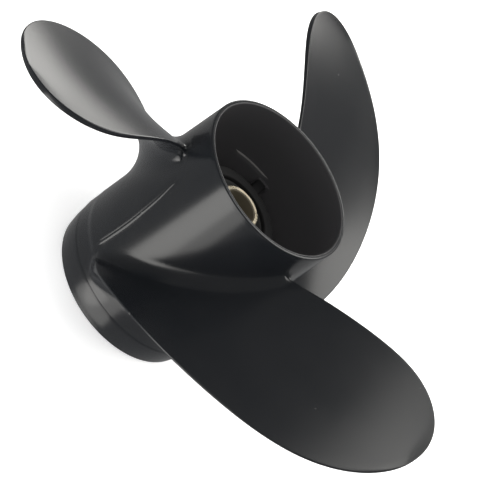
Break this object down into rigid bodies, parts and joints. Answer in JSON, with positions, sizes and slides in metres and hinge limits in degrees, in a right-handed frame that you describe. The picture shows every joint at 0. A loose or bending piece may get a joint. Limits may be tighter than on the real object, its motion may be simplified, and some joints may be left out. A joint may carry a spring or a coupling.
{
  "type": "outboard propeller",
  "caption": "Right-hand propeller with wide swept blades on a hollow barrel that lets exhaust out aft, a rubber-bushed inner hub and a splined brass sleeve.",
  "frame": {"origin": "the balance point, on the shaft axis, 40.0 mm forward of the aft rim", "axes": "+Z along the shaft axis, pointing aft out of the barrel's open mouth; -X towards the generator line of one blade"},
  "size_m": [0.213, 0.1954, 0.0892],
  "materials": {
    "black_paint": "satin black paint on cast aluminium",
    "black_rubber": "matte moulded rubber",
    "brass": "machined, lightly dulled"
  },
  "bodies": {
    "root": {"propeller_casting": "black_paint", "rubber_bush": "black_rubber", "splined_sleeve": "brass"}
  },
  "joints": []
}
